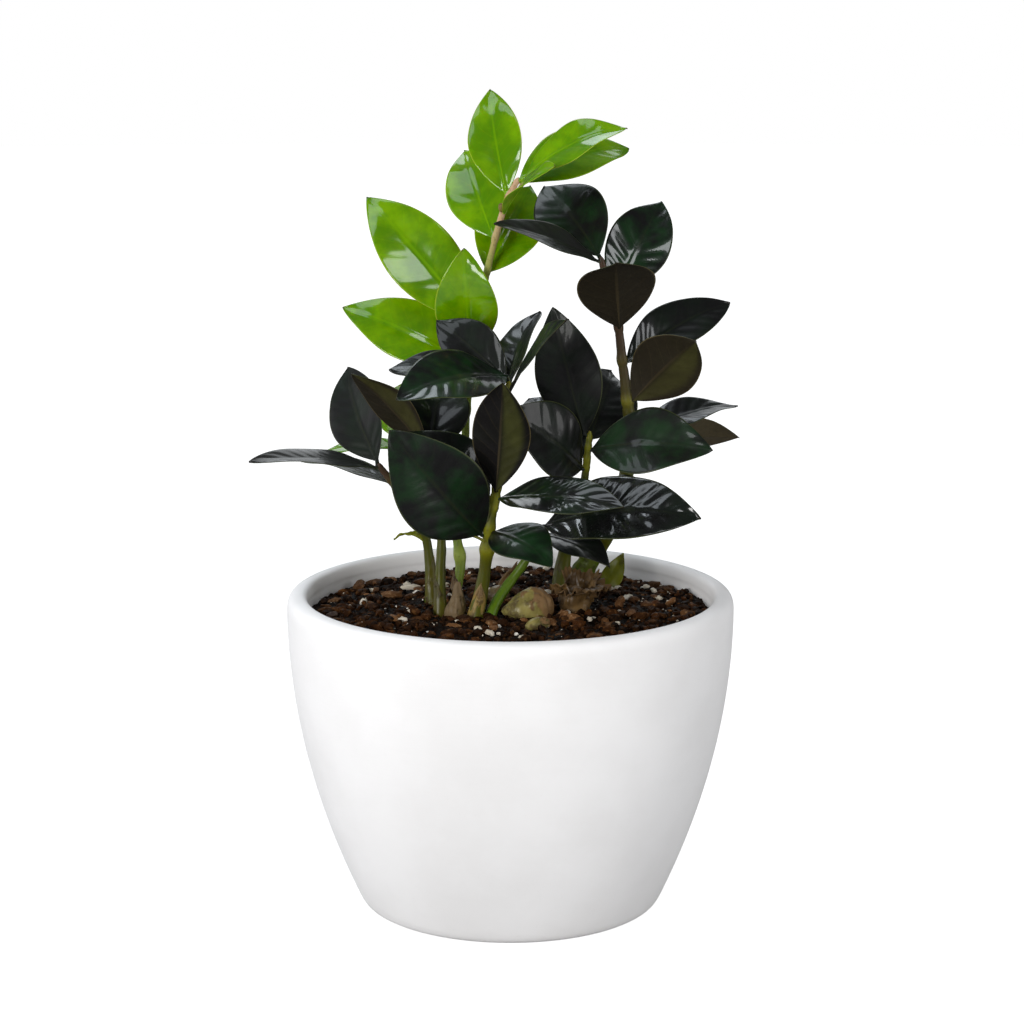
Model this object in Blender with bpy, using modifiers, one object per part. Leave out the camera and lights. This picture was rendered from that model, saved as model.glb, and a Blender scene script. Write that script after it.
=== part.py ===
"""A potted ZZ plant: one young lime frond and six dark fronds in a round, tapering white pot.

Lengths are written in millimetres and made into metres by MM. The origin is the centre of the pot's
foot, +Z points up, and the side that the plant is usually seen from faces -Y.
"""
import math

import bmesh
import bpy
from mathutils import Euler, Vector

MM = 0.001

# Pot
POT_HEIGHT = 163.5        # foot to the top of the lip
POT_RADIUS = 115.0        # at the widest place, just under the lip
FOOT_RADIUS = 77.5        # where the wall's curve meets the floor
WALL = 10.5               # wall, measured level
FLOOR = 14.0              # thickness of the pot's floor
LIP_DROP = 6.5            # widest place below the top of the lip
LIP_INNER_ROUND = 3.5
FOOT_ROUND = 3.0
POT_SIDES = 40
WALL_STEPS = 8
ROUND_STEPS = 3

# Soil
SOIL_DROP = 8.0           # soil's middle below the top of the lip
SOIL_CROWN = 4.0          # how far the middle stands above the soil's edge
GAP = 0.3                 # clearance between the pot, the soil and what stands in it
LEAF_GAP = 0.6            # clearance between a leaflet's foot and its stalk
SOIL_RINGS = (0.45, 0.75, 1.0)  # rings on the soil's top, as shares of its radius
ROOT_DEPTH = 14.0         # how far a stalk goes into the soil

# Plant
PLANT_SIZE = 1.0          # 1 is the real size; scales every stalk, leaflet and tuber about the soil's middle
LEAF_THICKNESS = 1.0
LEAF_ROWS = 6             # faces along a leaflet
LEAF_COLUMNS = 4          # faces across it, two on each side of the midrib
STALK_STEP = 9.0          # spacing of the points along a stalk
PETIOLE_SHARE = 0.07      # width of a leaflet's foot, as a share of its width
TIP_SHARE = 0.03

SOIL_Z = POT_HEIGHT - SOIL_DROP

# Each stalk: radius at the soil, radius at the top, and the places it passes through, measured from the
# middle of the soil's surface. A stalk rises all the way, so a leaflet's place on it is a height.
STALKS = {
    "stalk_lime": (2.2, 1.3, [
        (-29, 35, 0), (-26, 39, 14), (-29, 42, 29), (-27, 42, 45), (-24, 40, 64), (-23, 38, 96),
        (-18, 34, 131), (-14, 28, 160), (-9, 22, 182), (-4, 16, 201), (1, 14, 213), (6, 12, 221)]),
    "stalk_left": (2.6, 1.4, [
        (-41, 8, 0), (-42, 12, 21), (-44, 11, 36), (-49, 9, 46), (-56, 6, 56), (-62, 3, 66), (-69, 0, 76)]),
    "stalk_inner": (2.7, 1.4, [
        (-36, -14, 0), (-36, -9, 18), (-35, -8, 34), (-36, -6, 49), (-38, -4, 64), (-41, -2, 78), (-44, 0, 88)]),
    "stalk_front": (3.2, 1.2, [
        (-18, -26, 0), (-14, -25, 16), (-12, -27, 33), (-11, -30, 44), (-9, -32, 56), (-7, -32, 66),
        (-5, -27, 86), (-3, -20, 106), (0, -14, 123)]),
    "stalk_shoot": (2.4, 1.6, [
        (-11, -25, 0), (-4, -15, 11), (6, -12, 23), (13, -12, 36), (16, -12, 48)]),
    "stalk_centre": (4.0, 1.2, [
        (26, 24, 0), (27, 29, 12), (29, 28, 24), (33, 22, 41), (37, 16, 55), (39, 12, 69), (40, 10, 82),
        (41, 10, 91)]),
    "stalk_right": (4.7, 1.4, [
        (34, 31, 0), (37, 35, 8), (43, 34, 19), (49, 32, 28), (55, 28, 45), (60, 24, 61), (61, 20, 83),
        (61, 18, 99), (57, 14, 126), (55, 11, 144), (50, 8, 163), (45, 6, 181)]),
}

# Each leaflet: its stalk, the height of its foot above the soil, the direction that it points in
# (heading round from +X, then rise above level), its turn about the midrib (0 has the glossy side up,
# positive leans that side to the right of the heading), its length, width, arch and fold. The arch is
# the rise of its middle off the straight line from foot to tip, as a share of the length, and the fold
# is the angle by which each half is raised from flat.
LEAFLETS = {
    "lime_leaf_01": ("stalk_lime", 210, 108, 61, -31, 58, 27, 0.06, 16),
    "lime_leaf_02": ("stalk_lime", 187, 113, 46, -41, 58, 31, 0.08, 12),
    "lime_leaf_03": ("stalk_lime", 221, -16, 27, 41, 57, 25, 0.08, 14),
    "lime_leaf_04": ("stalk_lime", 217, 28, 14, 35, 66, 31, 0.08, 14),
    "lime_leaf_05": ("stalk_lime", 202, -60, 30, 38, 55, 22, 0.05, 14),
    "lime_leaf_06": ("stalk_lime", 169, 54, 49, 30, 56, 33, 0.05, 12),
    "lime_leaf_07": ("stalk_lime", 143, 155, 45, -58, 88, 36, 0.06, 14),
    "lime_leaf_08": ("stalk_lime", 127, -100, 74, -173, 57, 31, 0.05, 16),
    "lime_leaf_09": ("stalk_lime", 120, 168, 23, -53, 73, 33, 0.06, 14),
    "lime_leaf_10": ("stalk_lime", 95, 137, -8, -69, 68, 31, 0.06, 14),
    "lime_leaf_11": ("stalk_lime", 70, 180, 3, -2, 77, 25, 0.04, 14),
    "right_leaf_01": ("stalk_right", 180, 122, 32, -31, 60, 35, 0.06, 16),
    "right_leaf_02": ("stalk_right", 178, -153, 20, -28, 62, 25, 0.04, 16),
    "right_leaf_03": ("stalk_right", 158, 55, 46, 33, 64, 31, 0.06, 14),
    "right_leaf_04": ("stalk_right", 144, -95, 40, 10, 60, 38, 0.08, 10),
    "right_leaf_05": ("stalk_right", 124, 30, 23, 38, 69, 28, 0.06, 14),
    "right_leaf_06": ("stalk_right", 105, -49, 38, -58, 58, 33, 0.06, 12),
    "right_leaf_07": ("stalk_right", 85, 21, 13, 15, 60, 24, 0.06, 14),
    "right_leaf_08": ("stalk_right", 75, 35, 2, -48, 70, 26, 0.05, 14),
    "centre_leaf_01": ("stalk_centre", 88, -179, 76, -94, 67, 32, 0.05, 16),
    "centre_leaf_02": ("stalk_centre", 80, -20, 4, 51, 64, 37, 0.08, 14),
    "centre_leaf_03": ("stalk_centre", 85, 76, 27, 31, 62, 35, 0.06, 14),
    "centre_leaf_04": ("stalk_centre", 75, 120, 22, -20, 62, 36, 0.06, 14),
    "centre_leaf_05": ("stalk_centre", 70, -139, 35, -77, 62, 36, 0.06, 14),
    "centre_leaf_06": ("stalk_centre", 55, -20, 10, 22, 37, 20, 0.05, 14),
    "front_leaf_01": ("stalk_front", 44, -150, 48, -108, 76, 43, 0.07, 16),
    "front_leaf_02": ("stalk_front", 63, -30, 2, 28, 70, 29, 0.06, 14),
    "front_leaf_03": ("stalk_front", 46, -48, -12, 24, 44, 28, 0.08, 12),
    "front_leaf_04": ("stalk_front", 67, -82, 67, -20, 63, 28, 0.05, 14),
    "front_leaf_05": ("stalk_front", 58, 160, 38, -37, 57, 36, 0.05, 14),
    "front_leaf_06": ("stalk_front", 121, -144, -4, -27, 66, 38, 0.08, 14),
    "front_leaf_07": ("stalk_front", 116, 168, 8, -23, 60, 31, 0.06, 14),
    "front_leaf_08": ("stalk_front", 120, 146, 33, -42, 50, 26, 0.06, 14),
    "front_leaf_09": ("stalk_front", 120, 68, 38, -25, 50, 26, 0.05, 24),
    "front_leaf_10": ("stalk_front", 113, -49, 45, 40, 60, 25, 0.04, 12),
    "shoot_leaf_01": ("stalk_shoot", 45, -22, 8, 39, 83, 42, 0.08, 14),
    "shoot_leaf_02": ("stalk_shoot", 40, -42, -11, 14, 46, 22, 0.08, 14),
    "left_leaf_01": ("stalk_left", 75, 114, 45, -55, 60, 32, 0.06, 16),
    "left_leaf_02": ("stalk_left", 74, -148, 8, -11, 72, 25, 0.04, 14),
    "left_leaf_03": ("stalk_left", 64, 145, 5, -3, 58, 22, 0.05, 14),
    "inner_leaf_01": ("stalk_inner", 83, -153, 46, 38, 57, 21, 0.06, 12),
    "inner_leaf_02": ("stalk_inner", 81, 83, 43, 9, 48, 34, 0.05, 14),
}

# Each tuber: its middle from the middle of the soil's surface, its half sizes, and its turn and lean
TUBERS = {
    "tuber_large": ((9, -20, 4), (13, 9, 10), 0, 20),
    "tuber_tan": ((-27, -21, 4), (5, 5, 13), 0, 10),
    "tuber_small": ((-7, 12, 2), (6, 6, 6), 0, 0),
    "tuber_front": ((14, -42, 0), (8, 4, 4), 40, 0),
    "tuber_stump": ((33, -8, 2), (7, 6, 10), 0, 0),
}
TUBER_SEGMENTS = 12
TUBER_RINGS = 8

# The pale sheath beside the stump: place on the soil, its heading, rise and roll, length and width
SHEATH = ((51, 46), (30, 58, 60), 20, 10)
SHEATH_SHAPE = (0.05, 25)  # arch and fold

LIME = (0.22, 0.45, 0.01)
BLACK_GREEN = (0.012, 0.022, 0.012)
STALK_LIME = (0.20, 0.30, 0.03)
STALK_OLIVE = (0.13, 0.15, 0.03)
TUBER_TAN = (0.36, 0.28, 0.15)
SOIL_BROWN = (0.035, 0.018, 0.010)
POT_WHITE = (0.85, 0.85, 0.85)
SHEATH_GREEN = (0.45, 0.50, 0.08)


def clear_scene():
    for obj in list(bpy.data.objects):
        bpy.data.objects.remove(obj, do_unlink=True)


def new_collection(name):
    collection = bpy.data.collections.new(name)
    bpy.context.scene.collection.children.link(collection)
    return collection


def add_material(obj, colour, roughness):
    material = bpy.data.materials.new(obj.name)
    material.use_nodes = True
    shader = material.node_tree.nodes["Principled BSDF"]
    shader.inputs["Base Color"].default_value = (*colour, 1.0)
    shader.inputs["Roughness"].default_value = roughness
    shader.inputs["Metallic"].default_value = 0.0
    obj.data.materials.append(material)


def on_soil(point):
    """A place given from the middle of the soil's surface, in the pot's frame and in millimetres."""
    return Vector(point) * PLANT_SIZE + Vector((0, 0, SOIL_Z))


def turned_piece(name, profile, collection):
    """Turn an open profile of (radius, height), which runs down its outer side, about the Z axis."""
    mesh = bpy.data.meshes.new(name)
    bm = bmesh.new()
    points = [bm.verts.new((radius * MM, 0, height * MM)) for radius, height in profile]
    for start, end in zip(points, points[1:]):
        bm.edges.new((start, end))
    bm.to_mesh(mesh)
    bm.free()
    obj = bpy.data.objects.new(name, mesh)
    collection.objects.link(obj)
    screw = obj.modifiers.new("Turn", "SCREW")
    screw.steps = POT_SIDES
    screw.render_steps = POT_SIDES
    screw.use_merge_vertices = True
    screw.merge_threshold = 0.00001
    return obj


def wall_radius(height):
    """Outside of the pot: a parabola that is upright at the widest place."""
    widest = POT_HEIGHT - LIP_DROP
    return POT_RADIUS - (POT_RADIUS - FOOT_RADIUS) * (1 - height / widest) ** 2


def rounding(centre, size, start, end):
    """Points on a rounded edge in a profile, between two angles; size is its reach across and up."""
    points = []
    for step in range(ROUND_STEPS + 1):
        turn = math.radians(start + (end - start) * step / ROUND_STEPS)
        points.append((centre[0] + size[0] * math.cos(turn), centre[1] + size[1] * math.sin(turn)))
    return points


def make_pot(collection):
    widest = POT_HEIGHT - LIP_DROP
    inner_top = POT_HEIGHT - LIP_INNER_ROUND
    lip_round = min(LIP_DROP, WALL - LIP_INNER_ROUND)
    mouth = POT_RADIUS - WALL
    inside = [FLOOR + (widest - FLOOR) * step / WALL_STEPS for step in range(WALL_STEPS + 1)]
    outside = [widest + (FOOT_ROUND - widest) * step / WALL_STEPS for step in range(1, WALL_STEPS)]
    foot = wall_radius(FOOT_ROUND) - FOOT_ROUND
    profile = [(0, FLOOR)]
    profile += [(wall_radius(height) - WALL, height) for height in inside]
    profile += rounding((mouth + LIP_INNER_ROUND, inner_top), (LIP_INNER_ROUND, LIP_INNER_ROUND), 180, 90)
    profile += rounding((POT_RADIUS - lip_round, widest), (lip_round, LIP_DROP), 90, 0)
    profile += [(wall_radius(height), height) for height in outside]
    profile += rounding((foot, FOOT_ROUND), (FOOT_ROUND, FOOT_ROUND), 0, -90)
    profile.append((0, 0))
    pot = turned_piece("pot", profile, collection)
    add_material(pot, POT_WHITE, 0.7)
    return pot


def soil_edge_radius(height):
    return wall_radius(height) - WALL - GAP


def soil_height(radius):
    """Top of the soil at a distance from the middle: a low crown."""
    edge = soil_edge_radius(SOIL_Z - SOIL_CROWN)
    return SOIL_Z - SOIL_CROWN * (radius / edge) ** 2


def make_soil(collection):
    edge_height = SOIL_Z - SOIL_CROWN
    edge = soil_edge_radius(edge_height)
    bottom = FLOOR + GAP
    profile = [(0, SOIL_Z)]
    profile += [(edge * share, soil_height(edge * share)) for share in SOIL_RINGS]
    for step in range(1, WALL_STEPS + 1):
        height = edge_height - (edge_height - bottom) * step / WALL_STEPS
        profile.append((soil_edge_radius(height), height))
    profile.append((0, bottom))
    soil = turned_piece("soil", profile, collection)
    add_material(soil, SOIL_BROWN, 0.95)
    return soil


def spline_point(route, position):
    """A point on the smooth curve through a route's places, at a position counted in places."""
    first = min(int(position), len(route) - 2)
    local = position - first
    before = route[max(first - 1, 0)]
    start, end = route[first], route[first + 1]
    after = route[min(first + 2, len(route) - 1)]
    slope_in = (end - before) / (2 if first > 0 else 1)
    slope_out = (after - start) / (2 if first + 2 < len(route) else 1)
    h00 = 2 * local ** 3 - 3 * local ** 2 + 1
    h10 = local ** 3 - 2 * local ** 2 + local
    h01 = -2 * local ** 3 + 3 * local ** 2
    h11 = local ** 3 - local ** 2
    return start * h00 + slope_in * h10 + end * h01 + slope_out * h11


def stalk_route(name):
    return [Vector(place) for place in STALKS[name][2]]


def stalk_at_height(name, height):
    """Centre, direction and radius of a stalk at a height above the soil, before PLANT_SIZE."""
    route = stalk_route(name)
    low, high = 0.0, float(len(route) - 1)
    for _ in range(40):
        middle = (low + high) / 2
        if spline_point(route, middle).z < height:
            low = middle
        else:
            high = middle
    step = 0.05
    ahead = spline_point(route, min(low + step, len(route) - 1))
    behind = spline_point(route, max(low - step, 0))
    return spline_point(route, low), (ahead - behind).normalized(), stalk_radius(name, height)


def stalk_radius(name, height):
    foot, top, route = STALKS[name]
    share = min(max(height / route[-1][2], 0), 1)
    return top + (foot - top) * (1 - share) ** 1.3


def make_stalk(name, collection):
    route = stalk_route(name)
    length = sum((b - a).length for a, b in zip(route, route[1:]))
    count = max(int(length / STALK_STEP), 5)
    places = [Vector((route[0].x, route[0].y, -ROOT_DEPTH))]
    places += [spline_point(route, (len(route) - 1) * step / count) for step in range(count + 1)]
    curve = bpy.data.curves.new(name, "CURVE")
    curve.dimensions = "3D"
    curve.bevel_depth = MM
    curve.bevel_resolution = 2
    curve.use_fill_caps = True
    curve.twist_mode = "MINIMUM"
    spline = curve.splines.new("POLY")
    spline.points.add(len(places) - 1)
    for point, place in zip(spline.points, places):
        point.co = (*(on_soil(place) * MM), 1)
        point.radius = stalk_radius(name, place.z) * PLANT_SIZE
    obj = bpy.data.objects.new(name, curve)
    collection.objects.link(obj)
    add_material(obj, STALK_LIME if name == "stalk_lime" else STALK_OLIVE, 0.45)
    return obj


def outline(share):
    """Half width of a leaflet at a share of its length, as a share of its greatest half width."""
    body = math.sin(math.pi * share ** 0.92) ** 0.85 if 0 < share < 1 else 0.0
    return body + PETIOLE_SHARE * (1 - share) + TIP_SHARE * share


def make_leaflet(name, foot, turn, size, shape, collection):
    """A thin blade from its foot along +X, folded up along the midrib, then turned and placed."""
    length, width = size
    arch, fold = shape
    mesh = bpy.data.meshes.new(name)
    bm = bmesh.new()
    bmesh.ops.create_grid(bm, x_segments=LEAF_ROWS, y_segments=LEAF_COLUMNS, size=0.5)
    for vert in bm.verts:
        share = 0.5 - 0.5 * math.cos(math.pi * (vert.co.x + 0.5))
        side = vert.co.y * 2
        half = outline(share) * width / 2
        raised = math.tan(math.radians(fold)) * abs(side) * half
        crown = arch * length * 4 * share * (1 - share)
        vert.co = Vector((share * length, side * half, raised + crown)) * MM
    bm.to_mesh(mesh)
    bm.free()
    obj = bpy.data.objects.new(name, mesh)
    collection.objects.link(obj)
    obj.location = foot * MM
    obj.rotation_euler = leaflet_turn(*turn)
    solidify = obj.modifiers.new("Blade", "SOLIDIFY")
    solidify.thickness = LEAF_THICKNESS * MM
    solidify.offset = 0
    return obj


def leaflet_turn(heading, rise, roll):
    return Euler((math.radians(roll), -math.radians(rise), math.radians(heading)))


def leaflet_foot(name):
    """Where a leaflet starts: its narrow end stands LEAF_GAP off the side of its stalk."""
    stalk, height, heading, rise, roll, _, width, _, _ = LEAFLETS[name]
    centre, along, radius = stalk_at_height(stalk, height)
    turn = leaflet_turn(heading, rise, roll).to_matrix()
    pointing, across, upward = (turn @ Vector(axis) for axis in ((1, 0, 0), (0, 1, 0), (0, 0, 1)))
    outward = (pointing - along * pointing.dot(along)).normalized()
    half_foot = abs(across.dot(outward)) * PETIOLE_SHARE * width * PLANT_SIZE / 2
    half_blade = abs(upward.dot(outward)) * LEAF_THICKNESS / 2
    return on_soil(centre) + outward * (radius * PLANT_SIZE + LEAF_GAP + half_foot + half_blade)


def make_stalk_leaflet(name, collection):
    _, _, heading, rise, roll, length, width, arch, fold = LEAFLETS[name]
    size = (length * PLANT_SIZE, width * PLANT_SIZE)
    leaflet = make_leaflet(name, leaflet_foot(name), (heading, rise, roll), size, (arch, fold), collection)
    young = name.startswith("lime")
    add_material(leaflet, LIME if young else BLACK_GREEN, 0.3)
    return leaflet


def make_sheath(collection):
    (x, y), turn, length, width = SHEATH
    base = on_soil((x, y, 0))
    base.z = soil_height(math.hypot(base.x, base.y)) + GAP + LEAF_THICKNESS
    size = (length * PLANT_SIZE, width * PLANT_SIZE)
    sheath = make_leaflet("sheath", base, turn, size, SHEATH_SHAPE, collection)
    add_material(sheath, SHEATH_GREEN, 0.5)
    return sheath


def ellipsoid(name, grow, collection):
    """A tuber's body, or with grow the pocket that it sits in."""
    middle, halves, turn, lean = TUBERS[name]
    mesh = bpy.data.meshes.new(name)
    bm = bmesh.new()
    bmesh.ops.create_uvsphere(bm, u_segments=TUBER_SEGMENTS, v_segments=TUBER_RINGS, radius=1)
    for vert in bm.verts:
        blunt = 1 - 0.18 * vert.co.z
        vert.co = Vector(
            (vert.co.x * (halves[0] * PLANT_SIZE + grow) * blunt,
             vert.co.y * (halves[1] * PLANT_SIZE + grow) * blunt,
             vert.co.z * (halves[2] * PLANT_SIZE + grow))) * MM
    bm.to_mesh(mesh)
    bm.free()
    obj = bpy.data.objects.new(name, mesh)
    collection.objects.link(obj)
    obj.location = on_soil(middle) * MM
    obj.rotation_euler = (0, math.radians(lean), math.radians(turn))
    return obj


def make_tuber(name, collection):
    tuber = ellipsoid(name, 0, collection)
    add_material(tuber, TUBER_TAN, 0.6)
    return tuber


def cut_soil(soil, cutter):
    cutter.hide_render = True
    cutter.display_type = "WIRE"
    cut = soil.modifiers.new(cutter.name, "BOOLEAN")
    cut.operation = "DIFFERENCE"
    cut.solver = "EXACT"
    cut.object = cutter


def stalk_pocket(name, collection):
    """The round hole in the soil that a stalk's foot stands in."""
    foot, _, route = STALKS[name]
    radius = foot * PLANT_SIZE + 2 * GAP
    top = 12 * PLANT_SIZE
    bottom = -ROOT_DEPTH * PLANT_SIZE - GAP
    mesh = bpy.data.meshes.new("pocket_" + name)
    bm = bmesh.new()
    bmesh.ops.create_cone(
        bm, cap_ends=True, segments=10, radius1=radius * MM, radius2=radius * MM, depth=(top - bottom) * MM)
    bm.to_mesh(mesh)
    bm.free()
    obj = bpy.data.objects.new("pocket_" + name, mesh)
    collection.objects.link(obj)
    place = on_soil(route[0])
    obj.location = Vector((place.x, place.y, SOIL_Z + (top + bottom) / 2)) * MM
    return obj


def main():
    clear_scene()
    parts = new_collection("potted_zz_plant")
    cutters = new_collection("cutters")
    make_pot(parts)
    soil = make_soil(parts)
    for name in STALKS:
        make_stalk(name, parts)
        cut_soil(soil, stalk_pocket(name, cutters))
    for name in TUBERS:
        make_tuber(name, parts)
        pocket = ellipsoid(name, GAP * 1.5, cutters)
        pocket.name = "pocket_" + name
        cut_soil(soil, pocket)
    for name in LEAFLETS:
        make_stalk_leaflet(name, parts)
    make_sheath(parts)


main()
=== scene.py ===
# %% [markdown]
# # A potted zz plant
# This lesson dresses the plain solids of a potted zz plant. The plant has one young lime frond and
# several near-black ones, and stands in a matte white pot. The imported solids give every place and
# size: each cell measures the solid that it works on and builds the finished piece around it.

# %% The frame
import math
import random

import bpy
import numpy as np
from mathutils import Matrix, Vector, noise


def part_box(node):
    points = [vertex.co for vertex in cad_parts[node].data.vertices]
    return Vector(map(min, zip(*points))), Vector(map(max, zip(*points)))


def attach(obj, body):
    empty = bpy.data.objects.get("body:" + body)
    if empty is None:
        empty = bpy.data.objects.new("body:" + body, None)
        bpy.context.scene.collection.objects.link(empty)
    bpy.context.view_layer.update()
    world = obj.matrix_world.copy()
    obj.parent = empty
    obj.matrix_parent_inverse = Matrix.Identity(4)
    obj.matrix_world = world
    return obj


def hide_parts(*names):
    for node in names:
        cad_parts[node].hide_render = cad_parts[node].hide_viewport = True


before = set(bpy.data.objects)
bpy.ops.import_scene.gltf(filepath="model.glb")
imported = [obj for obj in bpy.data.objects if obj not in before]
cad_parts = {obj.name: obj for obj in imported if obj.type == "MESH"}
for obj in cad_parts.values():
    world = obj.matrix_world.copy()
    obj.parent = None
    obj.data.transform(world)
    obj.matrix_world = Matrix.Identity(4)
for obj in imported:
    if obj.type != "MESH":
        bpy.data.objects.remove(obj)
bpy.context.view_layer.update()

MM = 0.001

# %% [markdown]
# ## Small tools
# Blender's operators act on whatever is selected, and the loaded solids start off selected. So each
# piece begins with nothing selected and ends with its modifiers applied and its object at the origin.

# %% Selecting and finishing
def deselect_all():
    if bpy.context.object and bpy.context.object.mode != "OBJECT":
        bpy.ops.object.mode_set(mode="OBJECT")
    bpy.ops.object.select_all(action="DESELECT")


def select_only(piece):
    deselect_all()
    piece.select_set(True)
    bpy.context.view_layer.objects.active = piece


def named(name):
    """Gives the object that was just added its name."""
    piece = bpy.context.object
    piece.name = piece.data.name = name
    return piece


def apply_modifiers(piece):
    select_only(piece)
    for modifier in list(piece.modifiers):
        bpy.ops.object.modifier_apply(modifier=modifier.name)


def smooth(piece, degrees=180):
    select_only(piece)
    if degrees >= 180:
        bpy.ops.object.shade_smooth()
    else:
        bpy.ops.object.shade_smooth_by_angle(angle=math.radians(degrees))


def points_of(piece):
    return np.array([v.co[:] for v in piece.data.vertices])


def move_points(piece, points):
    piece.data.vertices.foreach_set("co", np.asarray(points, np.float32).ravel())
    piece.data.update()


def add_object(name, data):
    """Links a new object for a mesh, curve, lamp or camera into the scene."""
    made = bpy.data.objects.new(name, data)
    bpy.context.scene.collection.objects.link(made)
    return made


def add_attribute(piece, name, *columns):
    """Keeps up to three numbers at every corner, for a finish to read; a column may be one number."""
    values = np.zeros((len(piece.data.vertices), 3), np.float32)
    for axis, column in enumerate(columns):
        values[:, axis] = column
    kept = piece.data.attributes.new(name, "FLOAT_VECTOR", "POINT")
    kept.data.foreach_set("vector", values.ravel())


def finish_piece(piece, slot, *nodes, finish=None):
    if finish:
        piece.data.materials.append(finish)
    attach(piece, "root")
    if nodes:
        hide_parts(*nodes)


def edit_all():
    bpy.ops.object.mode_set(mode="EDIT")
    bpy.ops.mesh.select_all(action="SELECT")


def end_edit():
    """Turns every face outwards and leaves edit mode."""
    bpy.ops.mesh.select_all(action="SELECT")
    bpy.ops.mesh.normals_make_consistent(inside=False)
    bpy.ops.object.mode_set(mode="OBJECT")


def extrude_ring(rise, scale, height):
    """Extrudes the selected ring by rise, and scales it about the upright axis."""
    bpy.ops.mesh.extrude_region_move(TRANSFORM_OT_translate={"value": (0, 0, rise)})
    bpy.ops.transform.resize(value=(scale, scale, 1), center_override=(0, 0, height))


def noise_at(*columns):
    """Noise at many points, given as columns of x, y and z; a column may be one number."""
    return np.array([noise.noise(Vector(point)) for point in np.broadcast(*columns)])


def aim(heading, rise):
    """The direction at a heading from +X and a rise above level, in degrees."""
    turned, raised = math.radians(heading), math.radians(rise)
    level = math.cos(raised)
    return np.array([math.cos(turned) * level, math.sin(turned) * level, math.sin(raised)])


def unit(vector):
    return vector / np.linalg.norm(vector)


def ease(values, low, high):
    """0 below low, 1 above high, and a smooth step between."""
    share = np.clip((np.asarray(values, float) - low) / (high - low), 0, 1)
    return share * share * (3 - 2 * share)


# %% [markdown]
# ## Shader arithmetic
# A finish is a sum of small patterns. Writing `mask * 0.5 + grain` is easier to read than a list of
# Math nodes, so a `Wire` stands for one socket and its operators add those nodes. Everything else
# comes from `Finish.node`, which sets a node's settings first and then fills its sockets.

# %% Wires and finishes
class Wire:
    """One output socket that can be used in arithmetic."""

    def __init__(self, finish, socket):
        self.finish, self.socket = finish, socket

    def maths(self, operation, first, second=0.0):
        return self.finish.node("Math", {0: first, 1: second}, operation=operation)

    def __add__(self, other):
        return self.maths("ADD", self, other)

    def __sub__(self, other):
        return self.maths("SUBTRACT", self, other)

    def __rsub__(self, other):
        return self.maths("SUBTRACT", other, self)

    def __mul__(self, other):
        return self.maths("MULTIPLY", self, other)

    def __pow__(self, other):
        return self.maths("POWER", self, other)

    def __abs__(self):
        return self.maths("ABSOLUTE", self)


class Finish:
    """A material with one Principled shader, and short ways to paint it."""

    def __init__(self, name, **constants):
        self.material = bpy.data.materials.new(name)
        self.material.use_nodes = True
        self.tree = self.material.node_tree
        self.shader = self.tree.nodes["Principled BSDF"]
        for socket, value in constants.items():
            self.shader.inputs[socket.replace("_", " ")].default_value = value

    def node(self, kind, sockets=None, out=0, **settings):
        made = self.tree.nodes.new(f"ShaderNode{kind}")
        for setting, value in settings.items():
            setattr(made, setting, value)
        for socket, value in (sockets or {}).items():
            if isinstance(value, Wire):
                self.tree.links.new(value.socket, made.inputs[socket])
            elif value is not None:
                made.inputs[socket].default_value = value
        return Wire(self, made.outputs[out])

    def place(self, scale=(1, 1, 1)):
        """Object coordinates, in metres, stretched."""
        return self.node("Mapping", {"Vector": self.node("TexCoord", out="Object"), "Scale": scale})

    def grain(self, scale, detail=3.0, vector=None, roughness=0.55):
        """Noise whose features are about 1/scale metres across."""
        return self.node("TexNoise", {"Vector": vector or self.place(), "Scale": scale,
                                      "Detail": detail, "Roughness": roughness})

    def cells(self, scale):
        """How far a place is from the middle of its cell, with cells about 1/scale metres across."""
        return self.node("TexVoronoi", {"Vector": self.place(), "Scale": scale})

    def attribute(self, name):
        """The three numbers that a piece keeps at its corners."""
        vector = self.node("Attribute", out="Vector", attribute_name=name)
        return [self.node("SeparateXYZ", {0: vector}, axis) for axis in range(3)]

    def step(self, value, low, high):
        """0 at low and 1 at high, eased."""
        return self.node("MapRange", {"Value": value, "From Min": low, "From Max": high},
                         interpolation_type="SMOOTHSTEP")

    def mix(self, share, first, second, blend="MIX"):
        """A colour between two colours; either may be a wire."""
        first, second = (c if isinstance(c, Wire) else (*c, 1) for c in (first, second))
        return self.node("Mix", {0: share, 6: first, 7: second}, 2, data_type="RGBA",
                         blend_type=blend)

    def bump(self, height, distance, strength, normal=None):
        return self.node("Bump", {"Height": height, "Distance": distance, "Strength": strength,
                                  "Normal": normal})

    def surface(self, **sockets):
        for socket, value in sockets.items():
            self.tree.links.new(value.socket, self.shader.inputs[socket.replace("_", " ")])
        return self.material


# %% [markdown]
# ## The white pot's finish
# The pot is cast fibre-clay with a matte white coat. Such a coat is never one white: it has broad
# faint clouds, level streaks from the wiping cloth, and a fine tooth that keeps it from shining. A
# plain white would look like plastic, so the clouds tint the colour and the streaks bend the light.

# %% Matte white coat
def matte_white():
    coat = Finish("matte_white", Specular_IOR_Level=0.3)
    clouds = coat.step(coat.grain(22, 4), 0.3, 0.7)
    streaks = coat.grain(1, 5, coat.place((18, 18, 110)), 0.6)
    tooth = coat.grain(1500, 2)
    specks = coat.step(coat.cells(240), 0.10, 0.04)
    wiped = coat.mix(clouds * 0.8 + streaks * 0.2, (0.835, 0.828, 0.825), (0.885, 0.88, 0.88))
    colour = coat.mix(specks * 0.2, wiped, (0.70, 0.68, 0.65))
    rough = coat.bump(tooth, 0.00006, 0.35)
    combed = coat.bump(streaks, 0.0009, 0.25, rough)
    dimpled = coat.bump(clouds, 0.0006, 0.25, combed)
    return coat.surface(Base_Color=colour, Roughness=clouds * 0.12 + 0.56, Normal=dimpled)


pot_white = matte_white()
print("finish:", pot_white.name)

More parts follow.
